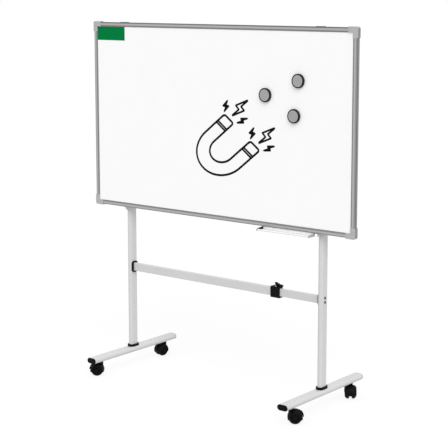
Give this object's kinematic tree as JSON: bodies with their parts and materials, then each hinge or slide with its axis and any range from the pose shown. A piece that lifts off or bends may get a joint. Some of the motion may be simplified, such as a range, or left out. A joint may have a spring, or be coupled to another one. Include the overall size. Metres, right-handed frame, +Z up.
{
  "type": "mobile whiteboard",
  "caption": "Mobile magnetic whiteboard in an aluminium frame, clamped to two posts with a telescoping crossbar, flat-oval feet, brake castors, a pen tray and round magnets.",
  "frame": {"origin": "on the floor, halfway between the two posts and halfway along the feet", "axes": "+X to the right as seen from the writing side, +Y away from the user, +Z up"},
  "size_m": [1.708, 0.668, 1.904],
  "materials": {
    "anodised_aluminium": "satin anodised",
    "white_aluminium": "white powder coat",
    "backing_aluminium": "mill",
    "white_enamel": "gloss",
    "core_board": "raw fibreboard",
    "light_powder_coat": "satin",
    "grey_plastic": "fine texture",
    "black_plastic": "fine texture",
    "wheel_nylon": "smooth",
    "magnet_grey": "satin",
    "zinc_plated_steel": "zinc plated"
  },
  "bodies": {
    "stand": {"left_post": "light_powder_coat", "left_post_cap": "black_plastic", "left_foot": "light_powder_coat", "left_foot_plugs": "black_plastic", "left_leg_bolts": "zinc_plated_steel", "left_post_collars": "black_plastic", "left_castor_stems": "zinc_plated_steel", "crossbar_outer_tube": "light_powder_coat", "clamp_sleeve": "black_plastic", "clamp_pin": "zinc_plated_steel"},
    "board": {"top_rail": "anodised_aluminium", "bottom_rail": "anodised_aluminium", "left_rail": "anodised_aluminium", "right_rail": "anodised_aluminium", "writing_surface": "white_enamel", "board_core": "core_board", "backing_sheet": "backing_aluminium", "corner_caps": "grey_plastic", "left_lower_bracket": "black_plastic", "left_upper_bracket": "black_plastic"},
    "right_leg": {"right_post": "light_powder_coat", "right_post_cap": "black_plastic", "right_foot": "light_powder_coat", "right_foot_plugs": "black_plastic", "right_leg_bolts": "zinc_plated_steel", "right_post_collars": "black_plastic", "right_castor_stems": "zinc_plated_steel", "crossbar_inner_tube": "light_powder_coat"},
    "right_brackets": {"right_lower_bracket": "black_plastic", "right_upper_bracket": "black_plastic"},
    "clamp_lever": {"clamp_lever": "black_plastic"},
    "pen_tray": {"pen_tray": "white_aluminium", "tray_end_caps": "black_plastic"},
    "left_lower_knob": {"left_lower_knob": "black_plastic"},
    "left_upper_knob": {"left_upper_knob": "black_plastic"},
    "right_lower_knob": {"right_lower_knob": "black_plastic"},
    "right_upper_knob": {"right_upper_knob": "black_plastic"},
    "left_magnet": {"left_magnet": "magnet_grey"},
    "right_magnet": {"right_magnet": "magnet_grey"},
    "lower_magnet": {"lower_magnet": "magnet_grey"},
    "left_front_castor": {"left_front_castor_hood": "black_plastic", "left_front_castor_axle": "zinc_plated_steel"},
    "left_front_wheel_a": {"left_front_wheel_a": "wheel_nylon"},
    "left_front_wheel_b": {"left_front_wheel_b": "wheel_nylon"},
    "left_front_brake_pedal": {"left_front_brake_pedal": "black_plastic"},
    "left_rear_castor": {"left_rear_castor_hood": "black_plastic", "left_rear_castor_axle": "zinc_plated_steel"},
    "left_rear_wheel_a": {"left_rear_wheel_a": "wheel_nylon"},
    "left_rear_wheel_b": {"left_rear_wheel_b": "wheel_nylon"},
    "left_rear_brake_pedal": {"left_rear_brake_pedal": "black_plastic"},
    "right_front_castor": {"right_front_castor_hood": "black_plastic", "right_front_castor_axle": "zinc_plated_steel"},
    "right_front_wheel_a": {"right_front_wheel_a": "wheel_nylon"},
    "right_front_wheel_b": {"right_front_wheel_b": "wheel_nylon"},
    "right_front_brake_pedal": {"right_front_brake_pedal": "black_plastic"},
    "right_rear_castor": {"right_rear_castor_hood": "black_plastic", "right_rear_castor_axle": "zinc_plated_steel"},
    "right_rear_wheel_a": {"right_rear_wheel_a": "wheel_nylon"},
    "right_rear_wheel_b": {"right_rear_wheel_b": "wheel_nylon"},
    "right_rear_brake_pedal": {"right_rear_brake_pedal": "black_plastic"}
  },
  "joints": [
    {"name": "board_height", "type": "slide", "parent": "stand", "child": "board", "axis": [0, 0, 1], "range_m": [-0.25, 0.02]},
    {"name": "crossbar_width", "type": "slide", "parent": "stand", "child": "right_leg", "axis": [1, 0, 0], "range_m": [-0.15, 0.1]},
    {"name": "right_bracket_height", "type": "slide", "parent": "right_leg", "child": "right_brackets", "axis": [0, 0, 1], "range_m": [-0.25, 0.02]},
    {"name": "clamp_lever_hinge", "type": "hinge", "parent": "stand", "child": "clamp_lever", "pos_m": [0.36, 0, 0.594], "axis": [0, -1, 0], "range_deg": [0, 45]},
    {"name": "pen_tray_slide", "type": "slide", "parent": "board", "child": "pen_tray", "axis": [1, 0, 0], "range_m": [-1.1, 0.18]},
    {"name": "left_lower_knob_turn", "type": "hinge", "parent": "board", "child": "left_lower_knob", "pos_m": [-0.635, 0.05, 0.9212], "axis": [0, 1, 0], "range_deg": [0, 360]},
    {"name": "left_upper_knob_turn", "type": "hinge", "parent": "board", "child": "left_upper_knob", "pos_m": [-0.635, 0.05, 1.6205], "axis": [0, 1, 0], "range_deg": [0, 360]},
    {"name": "right_lower_knob_turn", "type": "hinge", "parent": "right_brackets", "child": "right_lower_knob", "pos_m": [0.635, 0.05, 0.9212], "axis": [0, 1, 0], "range_deg": [0, 360]},
    {"name": "right_upper_knob_turn", "type": "hinge", "parent": "right_brackets", "child": "right_upper_knob", "pos_m": [0.635, 0.05, 1.6205], "axis": [0, 1, 0], "range_deg": [0, 360]},
    {"name": "left_magnet_pull", "type": "slide", "parent": "board", "child": "left_magnet", "axis": [0, -1, 0], "range_m": [0, 0.05]},
    {"name": "right_magnet_pull", "type": "slide", "parent": "board", "child": "right_magnet", "axis": [0, -1, 0], "range_m": [0, 0.05]},
    {"name": "lower_magnet_pull", "type": "slide", "parent": "board", "child": "lower_magnet", "axis": [0, -1, 0], "range_m": [0, 0.05]},
    {"name": "left_front_swivel", "type": "hinge", "parent": "stand", "child": "left_front_castor", "pos_m": [-0.635, -0.26, 0.08], "axis": [0, 0, 1], "continuous": true},
    {"name": "left_front_wheel_a_roll", "type": "hinge", "parent": "left_front_castor", "child": "left_front_wheel_a", "pos_m": [-0.65097, -0.27204, 0.0325], "axis": [0.6018, -0.7986, 0], "continuous": true},
    {"name": "left_front_wheel_b_roll", "type": "hinge", "parent": "left_front_castor", "child": "left_front_wheel_b", "pos_m": [-0.65097, -0.27204, 0.0325], "axis": [0.6018, -0.7986, 0], "continuous": true},
    {"name": "left_front_brake_pedal_hinge", "type": "hinge", "parent": "left_front_castor", "child": "left_front_brake_pedal", "pos_m": [-0.66432, -0.28209, 0.05242], "axis": [-0.6018, 0.7986, 0], "range_deg": [0, 18]},
    {"name": "left_rear_swivel", "type": "hinge", "parent": "stand", "child": "left_rear_castor", "pos_m": [-0.635, 0.26, 0.08], "axis": [0, 0, 1], "continuous": true},
    {"name": "left_rear_wheel_a_roll", "type": "hinge", "parent": "left_rear_castor", "child": "left_rear_wheel_a", "pos_m": [-0.6395, 0.24051, 0.0325], "axis": [0.9744, -0.225, 0], "continuous": true},
    {"name": "left_rear_wheel_b_roll", "type": "hinge", "parent": "left_rear_castor", "child": "left_rear_wheel_b", "pos_m": [-0.6395, 0.24051, 0.0325], "axis": [0.9744, -0.225, 0], "continuous": true},
    {"name": "left_rear_brake_pedal_hinge", "type": "hinge", "parent": "left_rear_castor", "child": "left_rear_brake_pedal", "pos_m": [-0.64326, 0.22423, 0.05242], "axis": [-0.9744, 0.225, 0], "range_deg": [0, 18]},
    {"name": "right_front_swivel", "type": "hinge", "parent": "right_leg", "child": "right_front_castor", "pos_m": [0.635, -0.26, 0.08], "axis": [0, 0, 1], "continuous": true},
    {"name": "right_front_wheel_a_roll", "type": "hinge", "parent": "right_front_castor", "child": "right_front_wheel_a", "pos_m": [0.65097, -0.24796, 0.0325], "axis": [-0.6018, 0.7986, 0], "continuous": true},
    {"name": "right_front_wheel_b_roll", "type": "hinge", "parent": "right_front_castor", "child": "right_front_wheel_b", "pos_m": [0.65097, -0.24796, 0.0325], "axis": [-0.6018, 0.7986, 0], "continuous": true},
    {"name": "right_front_brake_pedal_hinge", "type": "hinge", "parent": "right_front_castor", "child": "right_front_brake_pedal", "pos_m": [0.66432, -0.23791, 0.05242], "axis": [0.6018, -0.7986, 0], "range_deg": [0, 18]},
    {"name": "right_rear_swivel", "type": "hinge", "parent": "right_leg", "child": "right_rear_castor", "pos_m": [0.635, 0.26, 0.08], "axis": [0, 0, 1], "continuous": true},
    {"name": "right_rear_wheel_a_roll", "type": "hinge", "parent": "right_rear_castor", "child": "right_rear_wheel_a", "pos_m": [0.64704, 0.24403, 0.0325], "axis": [0.7986, 0.6018, 0], "continuous": true},
    {"name": "right_rear_wheel_b_roll", "type": "hinge", "parent": "right_rear_castor", "child": "right_rear_wheel_b", "pos_m": [0.64704, 0.24403, 0.0325], "axis": [0.7986, 0.6018, 0], "continuous": true},
    {"name": "right_rear_brake_pedal_hinge", "type": "hinge", "parent": "right_rear_castor", "child": "right_rear_brake_pedal", "pos_m": [0.65709, 0.23068, 0.05242], "axis": [-0.7986, -0.6018, 0], "range_deg": [0, 18]}
  ],
  "couplings": [
    {"joint": "right_bracket_height", "follows": "board_height", "ratio": 1}
  ]
}
